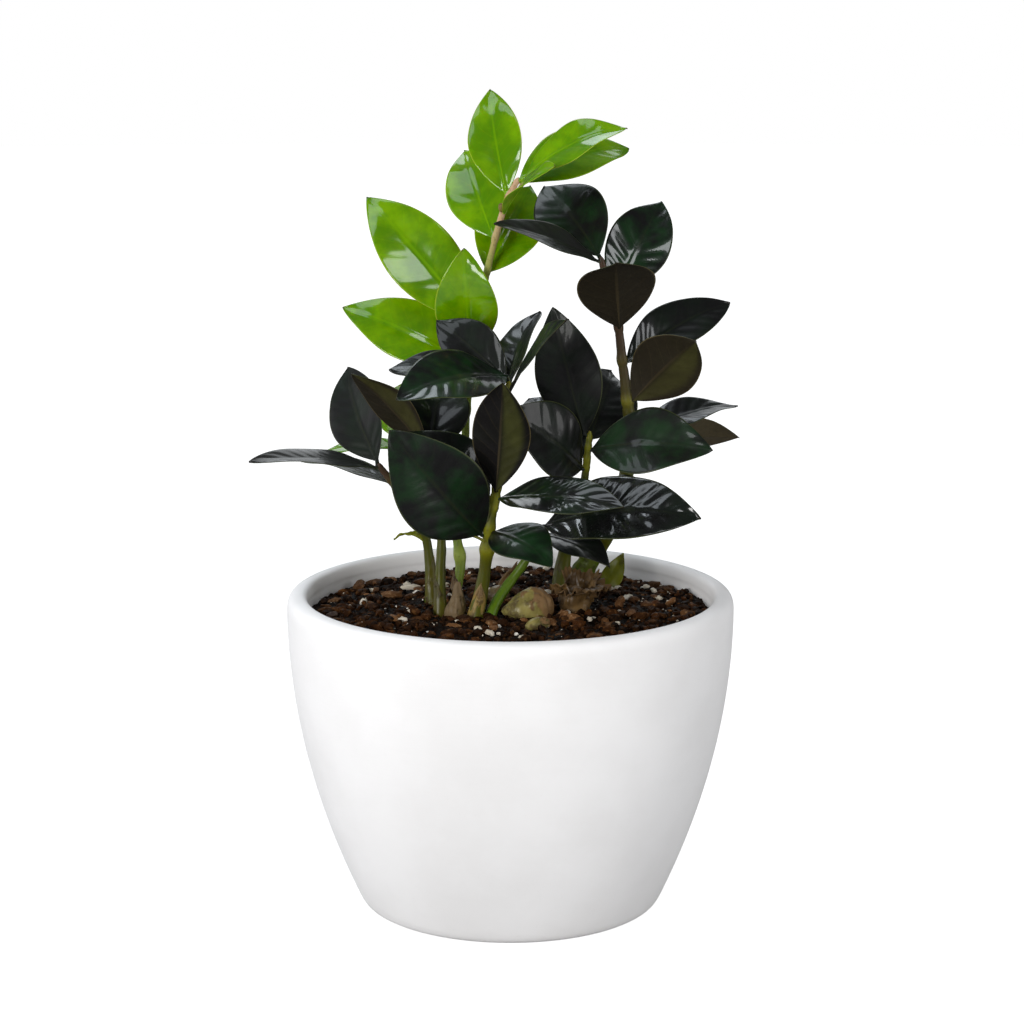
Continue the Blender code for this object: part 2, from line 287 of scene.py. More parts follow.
# %% [markdown]
# ## The pot
# The real pot is turned: a narrow foot, a wall that bellies out and ends upright, and a thick rolled
# lip. It could be spun from a profile. Here it is grown as by hand: a circle is extruded and scaled
# ring by ring up the outside, over the lip and down the inside, which leaves even quads for a
# Subdivision Surface. The ring sizes are measured on the solid, so the finished pot has its shape.

# %% Measuring the pot
def measure_rings(node):
    """Radius and height of each ring of corners on a turned solid."""
    corners = points_of(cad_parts[node])
    rings = {(round(float(math.hypot(x, y)), 4), round(float(z), 4)) for x, y, z in corners}
    return sorted(rings, key=lambda ring: ring[1])


POT_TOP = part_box("pot")[1]
POT_RADIUS = POT_TOP.x
WALL = 10.5 * MM
LIP_DROP = 6.5 * MM
WALL_TOP = POT_TOP.z - LIP_DROP
FOOT_RADIUS, FOOT_HEIGHT = max((r, z) for r, z in measure_rings("pot") if 2 * MM < z < 5 * MM)
BELLY = (POT_RADIUS - FOOT_RADIUS) / (1 - FOOT_HEIGHT / WALL_TOP) ** 2
print("pot: radius", round(POT_RADIUS / MM, 1), "foot", round(FOOT_RADIUS / MM, 1),
      "belly", round(BELLY / MM, 2), "mm")


def wall_radius(height):
    """Outside of the pot's wall: upright at its top and drawn in towards the foot."""
    return POT_RADIUS - BELLY * (1 - min(height / WALL_TOP, 1)) ** 2


# %% Growing the pot
# All in mm: how far in from the foot's edge and how high, and how far in from the outside or
# inside of the wall and how far above the pot's top
FOOT_RINGS = ((9.0, 1.2), (7.5, 0), (2.2, 0), (0.4, 0.8))
LIP_OUTSIDE = ((0.3, -4.4), (1.2, -2.0), (3.0, -0.6), (5.2, -0.1), (7.6, 0.05), (9.2, -0.5))
LIP_INSIDE = ((-0.3, -1.9), (0, -4.2), (0.1, -6.4), (-0.35, -7.0), (-0.3, -10))
INSIDE_DROP, INSIDE_CURVE, INSIDE_FLOOR = 18 * MM, 16 * MM, 14 * MM


def pot_profile():
    """Rings from the middle of the foot, up the outside, over the lip and down to the inside floor."""
    foot, top, inner = wall_radius(0), POT_TOP.z, POT_RADIUS - WALL
    rings = [(foot * 0.45, FOOT_RINGS[0][1] * MM)]
    rings += [(foot - inset * MM, height * MM) for inset, height in FOOT_RINGS]
    rings += [(wall_radius(h), h) for h in (3 * MM, *np.linspace(9 * MM, WALL_TOP, 16))]
    rings += [(POT_RADIUS - inset * MM, top + rise * MM) for inset, rise in LIP_OUTSIDE]
    rings += [(inner - inset * MM, top + rise * MM) for inset, rise in LIP_INSIDE]
    rings += [(wall_radius(h) - WALL, h) for h in np.linspace(top - INSIDE_DROP, 22 * MM, 6)]
    rings += [(wall_radius(INSIDE_CURVE) - WALL - 6 * MM, INSIDE_FLOOR + 0.5 * MM)]
    return rings + [(foot * 0.5, INSIDE_FLOOR)]


def close_ring(pot, radius, height, near=1e-5):
    """Fills an open end of the pot: a smaller ring, a face and its fan of triangles."""
    bpy.ops.mesh.select_all(action="DESELECT")
    bpy.ops.object.mode_set(mode="OBJECT")
    for corner in pot.data.vertices:
        x, y, z = corner.co
        corner.select = abs(z - height) < near and abs(math.hypot(x, y) - radius) < near
    bpy.ops.object.mode_set(mode="EDIT")
    bpy.ops.mesh.select_mode(type="VERT")
    extrude_ring(0, 0.4, height)
    bpy.ops.mesh.edge_face_add()
    bpy.ops.mesh.poke()


def grow_pot():
    deselect_all()
    rings = pot_profile()
    radius, height = rings[0]
    bpy.ops.mesh.primitive_circle_add(
        vertices=96, radius=radius, fill_type="NOTHING", location=(0, 0, height))
    pot = named("white_pot")
    select_only(pot)
    bpy.ops.object.transform_apply()
    edit_all()
    for (radius, height), (wider, higher) in zip(rings, rings[1:]):
        extrude_ring(higher - height, wider / radius, higher)
    for radius, height in (rings[0], rings[-1]):
        close_ring(pot, radius, height)
    end_edit()
    rounder = pot.modifiers.new("Rounder", "SUBSURF")
    rounder.levels = rounder.render_levels = 1
    apply_modifiers(pot)
    smooth(pot)
    finish_piece(pot, "pot", "pot", finish=pot_white)
    return pot


pot = grow_pot()
print("pot:", len(pot.data.polygons), "faces, top at", round(points_of(pot)[:, 2].max() / MM, 2), "mm")

# %% [markdown]
# ## The potting mix's finishes
# The mix is dark composted bark: moist crumbs from near black to red-brown, with paler broken bark
# and white perlite. The bed, the loose crumbs and the chips share one recipe with other colours, so
# that they read as one material at three sizes. The bed's colours are darker still, nearly black:
# partly the mix's own dark colour and partly painted shade for the gaps between the crumbs on it.

# %% Earth, bark and perlite
def crumbly(name, dark, mid, light, scale=420.0, loose=True):
    """Loose bits also differ from one another, by the number that each keeps."""
    earth = Finish(name, Specular_IOR_Level=0.06)
    patches = earth.step(earth.grain(scale * 0.22, 4), 0.38, 0.66)
    fleck = earth.step(earth.grain(scale, 3), 0.50, 0.72)
    damp = earth.grain(scale * 0.12, 2)
    tone = earth.attribute("bit")[0] ** 2.4 if loose else patches
    body = earth.mix(tone * 0.75 + patches * 0.25, dark, mid)
    colour = earth.mix(fleck * (tone * 0.7 + 0.15), body, light)
    pits = earth.bump(earth.grain(scale * 2.2, 4), 0.0005, 0.8)
    return earth.surface(Base_Color=colour, Roughness=damp * 0.5 + 0.40, Normal=pits)


# The bed is nearly black: the dark mix's own colour, darkened further as painted shade for the gaps
# between the loose crumbs
earth_bed_painted_shade = crumbly("earth_bed_painted_shade", (0.002, 0.001, 0.0005), (0.010, 0.0042, 0.0015),
                    (0.04, 0.017, 0.006), loose=False)
earth_crumb = crumbly("earth_crumb", (0.003, 0.0014, 0.0006), (0.060, 0.020, 0.0045),
                      (0.20, 0.09, 0.028))
bark_chip = crumbly("bark_chip", (0.030, 0.012, 0.005), (0.19, 0.085, 0.030), (0.36, 0.22, 0.11), 600)
perlite = crumbly("perlite", (0.50, 0.44, 0.34), (0.80, 0.77, 0.70), (0.90, 0.88, 0.83), 700)
print("finishes:", earth_bed_painted_shade.name, earth_crumb.name, bark_chip.name, perlite.name)

# %% [markdown]
# ## The bed of potting mix
# The mix fills the pot to just under its lip and crowns a little in the middle. A grid has even
# faces everywhere, while a disc's faces crowd at its middle, so a grid is eased into a round outline
# and then lifted: first the crown, then lumps, then crumbs.

# %% Raising the bed
SOIL_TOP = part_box("soil")[1].z
SOIL_CROWN = 4 * MM
BED_RADIUS = POT_RADIUS - WALL - 0.15 * MM
BED_CELLS = 170
BED_DROPS = ((8, 0.985), (30, 0.93), (45, 0.93), (40, 0.93))  # steps down in mm, and how they narrow


def soil_height(x, y):
    """The bed's smooth top, without its crumbs."""
    return SOIL_TOP - SOIL_CROWN * (x * x + y * y) / BED_RADIUS ** 2


def crumb_lift(x, y):
    """Lumps of about 12 mm, crumbs of 4 mm and grit of 2 mm."""
    lumps = noise.noise(Vector((x * 80, y * 80, 3.1))) * 1.4
    crumbs = abs(noise.noise(Vector((x * 260, y * 260, 7.7)))) * 2.2 - 0.9
    grit = noise.noise(Vector((x * 620, y * 620, 1.3))) * 0.9
    return (lumps + crumbs + grit) * MM


def raise_bed():
    deselect_all()
    bpy.ops.mesh.primitive_grid_add(x_subdivisions=BED_CELLS, y_subdivisions=BED_CELLS, size=2)
    bed = named("potting_mix")
    x, y = points_of(bed)[:, :2].T
    round_x, round_y = x * np.sqrt(1 - y * y / 2), y * np.sqrt(1 - x * x / 2)
    places = np.stack([round_x, round_y], 1) * BED_RADIUS
    move_points(bed, [(px, py, soil_height(px, py) + crumb_lift(px, py)) for px, py in places])
    select_only(bed)
    edit_all()
    bpy.ops.mesh.region_to_loop()
    for drop, scale in BED_DROPS:
        extrude_ring(-drop * MM, scale, SOIL_TOP - SOIL_CROWN - drop * MM)
    bpy.ops.mesh.edge_face_add()
    end_edit()
    smooth(bed, 50)
    finish_piece(bed, "soil", "soil", finish=earth_bed_painted_shade)
    return bed


bed = raise_bed()
print("bed:", len(bed.data.polygons), "faces")

# %% [markdown]
# ## Loose crumbs, bark and perlite
# On top lie thousands of loose bits. Each kind starts as four small balls, knocked out of round
# with random moves. Copies are turned, stretched and sunk a little, and each kind is joined into
# one piece, because thousands of separate objects would be slow and hard to handle.

# %% Scattering
def knobbly_ball(name, subdivisions, roughness, seed):
    """A ball about 2 units across with its corners knocked about."""
    deselect_all()
    bpy.ops.mesh.primitive_ico_sphere_add(subdivisions=subdivisions, radius=1)
    ball = named(name)
    edit_all()
    bpy.ops.transform.vertex_random(offset=roughness, uniform=0.4, normal=0.3, seed=seed)
    bpy.ops.object.mode_set(mode="OBJECT")
    return ball


def scatter(name, count, subdivisions, sizes, flatness, finish, seed, sink=0.25):
    """Joins turned and stretched copies of a few balls, spread over the bed, small ones more often.
    sink is the share of its height that a bit stands in the bed."""
    chance = random.Random(seed)
    balls = [knobbly_ball(f"{name}_{n}", subdivisions, 0.22, seed + n) for n in range(4)]
    shapes = [points_of(ball) for ball in balls]
    faces = [[list(p.vertices) for p in ball.data.polygons] for ball in balls]
    corners, polygons, tones = [], [], []
    for placed in range(count):
        reach = BED_RADIUS * 0.975 * math.sqrt(chance.random())
        angle = chance.random() * math.tau
        size = sizes[0] + (sizes[1] - sizes[0]) * chance.random() ** 2.2
        x, y = reach * math.cos(angle), reach * math.sin(angle)
        turn = Matrix.Rotation(chance.random() * math.tau, 3, "Z")
        lean = Matrix.Rotation(chance.gauss(0, 0.35), 3, "X")
        spin = Matrix.Rotation(chance.random() * math.tau, 3, (0.6, 0.5, 0.62))
        stretch = np.array([1 + chance.random() * 0.7, 1 - chance.random() * 0.35, flatness])
        kind = chance.randrange(len(balls))
        bit = shapes[kind] @ np.array(spin).T * stretch * size / 2 @ np.array(turn @ lean).T
        height = soil_height(x, y) + crumb_lift(x, y) + size * flatness * (0.5 - sink)
        corners.append(bit + np.array([x, y, height]))
        start = placed * len(shapes[0])
        polygons += [[c + start for c in face] for face in faces[kind]]
        tones.append([chance.random(), chance.random()])
    for ball in balls:
        bpy.data.objects.remove(ball)
    mesh = bpy.data.meshes.new(name)
    mesh.from_pydata(np.concatenate(corners).tolist(), [], polygons)
    piece = add_object(name, mesh)
    add_attribute(piece, "bit", *np.repeat(tones, len(shapes[0]), axis=0).T)
    smooth(piece, 40)
    finish_piece(piece, "soil", finish=finish)
    print(f"{name}: {count} bits, {len(mesh.polygons)} faces")


scatter("fine_crumbs", 3000, 1, (0.8 * MM, 2.2 * MM), 0.85, earth_crumb, 7)
scatter("loose_crumbs", 1500, 2, (1.4 * MM, 5.6 * MM), 0.8, earth_crumb, 11)
scatter("bark_bits", 260, 2, (2.0 * MM, 8.5 * MM), 0.45, bark_chip, 23, sink=0.1)
scatter("perlite_grains", 120, 2, (1.5 * MM, 4.8 * MM), 0.7, perlite, 37, sink=0.05)
scatter("perlite_dust", 260, 1, (0.6 * MM, 1.5 * MM), 0.8, perlite, 41, sink=0.0)

# %% [markdown]
# ## The stalks' finish
# A zz stalk is fleshy and upright, olive to yellow-green, with fine dark mottling and a paler ring
# at each joint where a leaflet leaves. Its colour changes along it, so every stalk keeps, at each
# corner of its mesh, how far up it is, how near a joint, and how brown.

# %% Stalk skin
def stalk_skin(name, low, high, joint, brown):
    skin = Finish(name, Specular_IOR_Level=0.25, Subsurface_Weight=0.08, Subsurface_Scale=0.004)
    up, near_joint, browning = skin.attribute("stalk")
    length_streaks = skin.grain(1, 4, skin.place((420, 420, 60)))
    mottling = skin.step(skin.grain(700, 3), 0.52, 0.70)
    body = skin.mix(up, low, high)
    ringed = skin.mix(near_joint * 0.75, body, joint)
    aged = skin.mix(browning, ringed, brown)
    streaked = skin.mix(length_streaks * 0.5, aged, (0.9, 0.88, 0.7), "MULTIPLY")
    colour = skin.mix(mottling * 0.35, streaked, (0.035, 0.040, 0.014))
    ribs = skin.bump(length_streaks, 0.0006, 0.35)
    return skin.surface(Base_Color=colour, Roughness=length_streaks * 0.25 + 0.30, Normal=ribs)


green_skin = stalk_skin("green_stalk", (0.10, 0.20, 0.006), (0.060, 0.085, 0.006),
                        (0.22, 0.28, 0.015), (0.05, 0.04, 0.015))
olive_skin = stalk_skin("olive_stalk", (0.075, 0.078, 0.003), (0.038, 0.046, 0.005),
                        (0.20, 0.20, 0.008), (0.055, 0.030, 0.018))
lime_skin = stalk_skin("lime_stalk", (0.17, 0.24, 0.025), (0.30, 0.40, 0.06),
                       (0.38, 0.46, 0.08), (0.50, 0.32, 0.20))
print("finishes:", green_skin.name, olive_skin.name, lime_skin.name)

# %% [markdown]
# ## Measuring the leaflets and stalks
# Every leaflet solid is a folded blade of seven rows of ten corners. Sorting its corners along its
# length finds those rows, and from them come its foot, its tip, the side that faces up, its width,
# its fold and its arch. A stalk is cut by level planes, each of which gives a middle and a radius.

# %% Reading the solids
ROWS, ROW_POINTS = 7, 10
FULLEST = 0.92  # below 1, the widest place moves towards the foot


def outline(share, fullest=FULLEST):
    """Half width of a leaflet at a share of its length, against its greatest."""
    return np.sin(np.pi * np.clip(share, 0, 1) ** fullest) ** 0.85


def corners_of(node):
    """Each corner of a solid once, and the solid's own directions, its longest first."""
    points = np.unique(np.round(points_of(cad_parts[node]), 5), axis=0)
    return points, np.linalg.svd(points - points.mean(0))[2]


def measure_blade(node):
    """Foot, directions, length, half width, arch and fold of a leaflet solid."""
    points, (along, *_) = corners_of(node)
    for _ in range(2):
        rows = points[np.argsort(points @ along)].reshape(ROWS, ROW_POINTS, 3)
        foot, tip = rows[0].mean(0), rows[-1].mean(0)
        along = unit(tip - foot)
    widths = [np.linalg.norm(row - row.mean(0), axis=1).max() for row in rows]
    if widths[0] + widths[2] < widths[-1] + widths[-3]:
        rows, foot, tip, along = rows[::-1], tip, foot, -along
    middle = rows[ROWS // 2]
    rough = np.linalg.svd(middle - middle.mean(0))[2][0]
    order = middle[np.argsort(middle @ rough)]
    left, centre, right = order[:2].mean(0), order[4:6].mean(0), order[8:].mean(0)
    across = right - left
    half = np.linalg.norm(across) / 2
    across = unit(across - along * (across @ along))
    upward = np.cross(along, across)
    raised = ((left + right) / 2 - centre) @ upward
    if raised < 0:
        across, upward, raised = -across, -upward, -raised
    length = float(np.linalg.norm(tip - foot))
    return {"node": node, "foot": foot, "along": along, "across": across, "up": upward,
            "length": length, "half": float(half / outline(0.5)), "fold": math.atan2(raised, half),
            "arch": float((centre - foot) @ upward / length)}


def cut_level(node, height):
    """Middle and radius where a level plane cuts a stalk solid."""
    triangles = points_of(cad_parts[node]).reshape(-1, 3, 3)
    first = triangles.reshape(-1, 3)
    second = triangles[:, [1, 2, 0]].reshape(-1, 3)
    crossing = (first[:, 2] < height) != (second[:, 2] < height)
    a, b = first[crossing], second[crossing]
    cut = a + (b - a) * ((height - a[:, 2]) / (b[:, 2] - a[:, 2]))[:, None]
    middle = (cut.max(0) + cut.min(0)) / 2
    spread = np.linalg.svd((cut - middle)[:, :2])[1]
    return middle, float(spread[1] / math.sqrt(len(cut)) * math.sqrt(2))


def measure_stalk(node):
    """Middles and radii every few millimetres up a stalk."""
    low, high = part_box(node)
    levels = np.arange(low.z + 1.5 * MM, high.z - 1.2 * MM, 3 * MM)
    cuts = [cut_level(node, level) for level in levels]
    return np.array([c[0] for c in cuts]), np.array([c[1] for c in cuts])


leaf_nodes = sorted(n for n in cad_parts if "_leaf_" in n)
stalk_nodes = sorted(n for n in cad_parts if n.startswith("stalk_"))
blades = {node: measure_blade(node) for node in leaf_nodes}
stalks = {node: measure_stalk(node) for node in stalk_nodes}


def nearest_on_stalks(place):
    """The stalk nearest to a place, and the nearest of its middles."""
    best = min((np.linalg.norm(stalks[s][0] - place, axis=1).min(), s) for s in stalks)[1]
    middles = stalks[best][0]
    return best, middles[np.linalg.norm(middles - place, axis=1).argmin()]


for node, blade in blades.items():
    blade["stalk"], blade["joint"] = nearest_on_stalks(blade["foot"])
    blade["gap"] = np.linalg.norm(blade["joint"] - blade["foot"])
    print(node, blade["stalk"], "length", round(blade["length"] / MM), "width",
          round(blade["half"] * 2 / MM), "fold", round(math.degrees(blade["fold"])))
print("leaflets:", len(blades), "stalks:", len(stalks), "furthest foot from a stalk's middle:",
      round(max(blade["gap"] for blade in blades.values()) / MM, 1), "mm")

# %% [markdown]
# ## The stalks
# A stalk could be a stack of extruded rings, but a curve with a radius at every point bends more
# smoothly. Each curve follows the measured middles, swells where a leaflet joins and at its root,
# and becomes a mesh, which then keeps the colours' three numbers.

# %% Growing the stalks
def smooth_route(middles, radii, step):
    """Points and radii at an even step on an eased curve."""
    kernel = np.array([1, 2, 3, 2, 1]) / 9
    padded = np.vstack([[middles[0]] * 2, middles, [middles[-1]] * 2])
    eased = np.stack([np.convolve(padded[:, a], kernel, "valid") for a in range(3)], 1)
    eased[0], eased[-1] = middles[0], middles[-1]
    walk = np.concatenate([[0], np.cumsum(np.linalg.norm(np.diff(eased, axis=0), axis=1))])
    even = np.linspace(0, walk[-1], int(walk[-1] / step))
    points = np.stack([np.interp(even, walk, eased[:, a]) for a in range(3)], 1)
    return points, np.interp(even, walk, radii), even


def swellings(walk, places, width):
    """1 at each of some places along a stalk, falling away over a width."""
    grown = np.zeros(len(walk))
    for place in places:
        grown = np.maximum(grown, np.exp(-((walk - place) / width) ** 2))
    return grown


STALK_STEP = 1.2 * MM
STALK_FULLNESS = 1.18  # level cuts through flat sides read a little under the true radius
JOINT_WIDTH, KNEE_WIDTH = 3.2 * MM, 4 * MM
RING_BELOW, RING_WIDTH = 3.5 * MM, 0.9 * MM
ROOT_HEIGHT = 22 * MM


def grow_stalk(node, skin, slot, brown_from, swollen=()):
    """A skin round a stalk that browns between two shares of its length; swollen are its knees."""
    middles, radii = stalks[node]
    points, sizes, walk = smooth_route(middles, radii, STALK_STEP)
    feet = [blade["joint"] for blade in blades.values() if blade["stalk"] == node]
    joints = [walk[np.linalg.norm(points - foot, axis=1).argmin()] for foot in feet]
    near = swellings(walk, joints, JOINT_WIDTH)
    ring = swellings(walk, [joint - RING_BELOW for joint in joints], RING_WIDTH)
    knee = swellings(walk, [share * walk[-1] for share in swollen], KNEE_WIDTH)
    rooted = 1 - ease(points[:, 2] - SOIL_TOP, 0, ROOT_HEIGHT)
    sizes = sizes * STALK_FULLNESS * (1 + near * 0.22 + knee * 0.42 + rooted * 0.12 - ring * 0.10)
    sizes[-3:] *= (0.92, 0.7, 0.35)
    curve = bpy.data.curves.new(node, "CURVE")
    curve.dimensions, curve.bevel_depth, curve.bevel_resolution = "3D", 1.0, 6
    curve.use_fill_caps = True
    spline = curve.splines.new("POLY")
    spline.points.add(len(points) - 1)
    for spot, point, size in zip(spline.points, points, sizes):
        spot.co, spot.radius = (*point, 1), size
    select_only(add_object(f"{node}_skin", curve))
    bpy.ops.object.convert(target="MESH")
    piece = bpy.context.object
    corners = points_of(piece)
    index = np.array([np.linalg.norm(points - c, axis=1).argmin() for c in corners])
    wobble = noise_at(*(corners * 160).T) * 0.22 * MM
    outward = corners - points[index]
    outward /= np.maximum(np.linalg.norm(outward, axis=1), 1e-9)[:, None]
    move_points(piece, corners + outward * wobble[:, None])
    share = walk / walk[-1]
    tint = np.stack([share, np.clip(near + knee, 0, 1), ease(share, *brown_from)])
    add_attribute(piece, "stalk", *tint[:, index])
    smooth(piece)
    finish_piece(piece, slot, node, finish=skin)


BROWNING = {"stalk_lime": (0.72, 0.95), "stalk_right": (0.45, 0.85), "stalk_left": (0.5, 1.0)}
KNEES = {"stalk_lime": (0.13,), "stalk_front": (0.36,)}
STALK_SKINS = {"stalk_lime": lime_skin, "stalk_shoot": green_skin}
for node in stalk_nodes:
    slot = "lime_stalk" if node == "stalk_lime" else "olive_stalk"
    grow_stalk(node, STALK_SKINS.get(node, olive_skin), slot, BROWNING.get(node, (0.9, 1.5)),
               KNEES.get(node, ()))
print("stalks grown:", len(stalk_nodes))

# %% [markdown]
# ## The leaflets' finishes
# A zz leaflet is waxy above and dull below. Young ones are bright lime and older ones nearly black,
# with green showing through in patches. Above, the wax gives sharp highlights that break up over the
# quilting between the side ribs. The midrib is thin and paler, and so is the margin, whose paler
# colour is partly its own and partly a painted rim highlight where the edge catches the light.
# A leaflet keeps its own numbers: how far along and to the side each corner is, the count of side
# ribs, and how green, brown, lit through and polished it is.

# %% Wax above, matte below
def leaf_finish(name, deep, fresh, aged, margin_and_rim_highlight, rib, gloss, coat, shine, rib_share=0.25, backlit=0.0,
                through=(0.042, 0.044, 0.010)):
    """deep, fresh and aged are the body's colours and through is a half that lets light through;
    the fourth colour is the margin's, partly its own and partly a painted rim highlight where the
    edge catches the light, and rib is the ribs'."""
    wax = Finish(name, Specular_IOR_Level=shine, Coat_Roughness=0.09, Coat_IOR=1.45,
                 Subsurface_Weight=backlit, Subsurface_Scale=0.003)
    along, side, ribs = wax.attribute("blade")
    green, brown, olive = wax.attribute("tone")
    polish = wax.attribute("polish")[0]
    patches = wax.step(wax.grain(70, 4), 0.36, 0.70)
    freckles = wax.grain(520, 3)
    body = wax.mix(patches * green, deep, fresh)
    lit = wax.mix(olive * (patches * 0.4 + 0.6), body, through)
    browned = wax.mix(brown * (freckles * 0.5 + 0.5), lit, aged)
    from_middle = abs(side)
    rib_line = wax.step(abs(ribs.maths("FRACT", ribs) - 0.5), 0.43, 0.5)
    ribbed = wax.mix(rib_line * rib_share * 0.5, browned, rib)
    midrib = wax.step(from_middle, 0.055, 0.02) * (1.15 - along)
    centred = wax.mix(midrib * rib_share * 2.2, ribbed, rib)
    # A thin paler margin: partly its own colour and partly a painted rim highlight where the edge
    # catches the light
    margin = wax.step(from_middle, 0.955, 0.99)
    margin_highlighted = wax.mix(margin * 0.6, centred, margin_and_rim_highlight)
    tipped = wax.mix(wax.step(along, 0.975, 1.0) * 0.7, margin_highlighted, (0.02, 0.015, 0.008))
    fine = wax.bump(freckles, 0.00006, 0.2)
    veined = wax.bump(rib_line, 0.00015, 0.2, fine)
    waved = wax.bump(wax.grain(75, 2), 0.0018, 0.3, veined)
    roughness = freckles * 0.08 + (1 - polish) * 0.20 + gloss
    return wax.surface(Base_Color=tipped, Roughness=roughness, Normal=waved,
                       Coat_Weight=(1 - margin) * polish * coat)


# The fourth colour of each finish is the margin's: partly its own, partly a painted rim highlight
LIME_AGED = (0.2, 0.4, 0.0)
lime_top = leaf_finish("lime_leaf_top", (0.076, 0.215, 0.0), (0.175, 0.365, 0.0), LIME_AGED,
                       (0.36, 0.48, 0.04), (0.20, 0.40, 0.0), 0.22, 1.3, 0.03, 0.25, 0.1)
lime_under = leaf_finish("lime_leaf_under", (0.11, 0.27, 0.0), (0.19, 0.36, 0.0), LIME_AGED,
                         (0.38, 0.50, 0.06), (0.29, 0.45, 0.02), 0.42, 0.0, 0.12, 0.4, 0.1)
dark_top = leaf_finish("dark_leaf_top", (0.0024, 0.0024, 0.0027), (0.004, 0.028, 0.005),
                       (0.026, 0.027, 0.024), (0.07, 0.08, 0.03), (0.014, 0.018, 0.006),
                       0.24, 0.95, 0.16)
dark_under = leaf_finish("dark_leaf_under", (0.0040, 0.0032, 0.0032), (0.007, 0.010, 0.003),
                         (0.070, 0.054, 0.024), (0.13, 0.10, 0.04), (0.045, 0.034, 0.016),
                         0.40, 0.0, 0.16, 0.4)
print("finishes:", lime_top.name, lime_under.name, dark_top.name, dark_under.name)

# %% [markdown]
# ## The leaflets
# One flat grid is the start of every leaflet. It is eased into the outline, folded along the midrib,
# arched and waved, and laid on the directions that the solid gave. Its first rows run back into the
# stalk as the short leaf stem. A Solidify whose thickness follows a vertex group makes the midrib
# fleshy and the margin thin, and gives the back its own finish.

# %% Shaping a leaflet
BLADE_ROWS, STEM_ROWS, BLADE_COLUMNS = 60, 8, 30
BLADE_THICKNESS = 2.0 * MM
RIB_SPACING = 8.0 * MM
STEM_HALF, MIDRIB_HALF = 1.05 * MM, 0.9 * MM

# How green its patches are, how brown it is, its quilting, its wave and how its tip curls
YOUNG = (0.8, 0.0, 0.45, 0.7, 0.03)
MATURE = (0.22, 0.12, 1.5, 0.7, 0.02)
CHARACTER = {
    "right_leaf_01": (0.9, 0.1, 1.3, 0.6, 0.02), "right_leaf_02": (0.3, 0.6, 0.9, 0.5, 0.0),
    "right_leaf_03": (0.9, 0.1, 1.5, 0.9, 0.03), "right_leaf_04": (0.1, 0.25, 0.5, 0.5, 0.02),
    "right_leaf_06": (0.3, 0.30, 0.5, 0.5, 0.03), "right_leaf_08": (0.3, 1.0, 0.6, 0.5, 0.02),
    "centre_leaf_02": (1.0, 0.3, 1.2, 0.6, 0.02), "front_leaf_01": (0.8, 0.1, 1.5, 0.7, 0.02),
    "front_leaf_02": (0.5, 0.2, 1.8, 0.8, 0.0), "front_leaf_03": (1.0, 0.1, 1.0, 0.5, 0.04),
    "front_leaf_04": (0.2, 0.0, 1.2, 0.6, 0.01), "front_leaf_06": (1.0, 0.1, 2.0, 0.6, 0.02),
    "shoot_leaf_01": (0.15, 0.1, 3.2, 1.4, 0.03), "left_leaf_02": (0.1, 0.8, 1.0, 0.5, 0.0),
    "left_leaf_03": (0.1, 0.9, 0.9, 0.5, 0.0), "inner_leaf_01": (0.3, 0.25, 0.8, 0.5, 0.0),
}
# How polished a top is, where it isn't the usual, and the leaflets whose one half lets light through
USUAL_POLISH, YOUNG_POLISH = 0.4, 0.7
POLISH = {"shoot_leaf_01": 1.0, "front_leaf_02": 0.9, "right_leaf_03": 0.9, "front_leaf_06": 0.6,
          "left_leaf_01": 0.0, "front_leaf_01": 0.1, "centre_leaf_01": 0.1, "right_leaf_01": 0.2,
          "centre_leaf_02": 0.35, "right_leaf_02": 0.3, "right_leaf_05": 0.6, "left_leaf_02": 0.5}
LIT_HALF = ("front_leaf_04", "inner_leaf_01", "right_leaf_06")


def blade_heights(share, side, half, blade, character, seed):
    """How far each point of a blade stands above its flat outline, and its count of side ribs."""
    _, _, quilting, wave, curl = character
    length = blade["length"]
    offset = np.abs(side) * half
    valley = 0.10 * blade["half"]
    raised = math.tan(blade["fold"]) * 1.15 * (np.sqrt(offset ** 2 + valley ** 2) - valley)
    crown = blade["arch"] * length * 4 * share * (1 - share)
    rounded = -0.10 * half * side ** 2
    drift = 0.25 * np.sin(share * 11 + seed) + 0.2 * np.sign(side)
    ribs = share * length / RIB_SPACING - np.abs(side) * 1.5 + drift
    pillow = np.abs(np.sin(math.pi * ribs)) ** 1.1 - 0.6
    window = np.sqrt(np.clip(1 - side ** 2, 0, 1)) * ease(np.abs(side), 0.04, 0.3) * ease(share, 0, 0.12)
    quilt = pillow * window * 0.24 * MM * quilting * ease(1 - share, 0, 0.12)
    swing = np.sin(share * 9 + seed * 1.7 + np.sign(side) * 0.9)
    ripple = swing * side ** 2 * wave * 1.4 * MM * ease(share, 0.05, 0.3)
    drooped = -curl * length * ease(share, 0.72, 1.0)
    return raised + crown + rounded + quilt + ripple + drooped, ribs


def thicken(leaf, weight, finishes):
    """A wall whose thickness follows weight, with its own finish underneath."""
    group = leaf.vertex_groups.new(name="fleshy")
    for index, value in enumerate(weight):
        group.add([index], float(value), "REPLACE")
    fleshy = leaf.modifiers.new("Fleshy", "SOLIDIFY")
    fleshy.thickness, fleshy.offset, fleshy.vertex_group = BLADE_THICKNESS, 0, "fleshy"
    fleshy.material_offset = 1
    for finish in finishes:
        leaf.data.materials.append(finish)
    apply_modifiers(leaf)
    leaf.vertex_groups.clear()


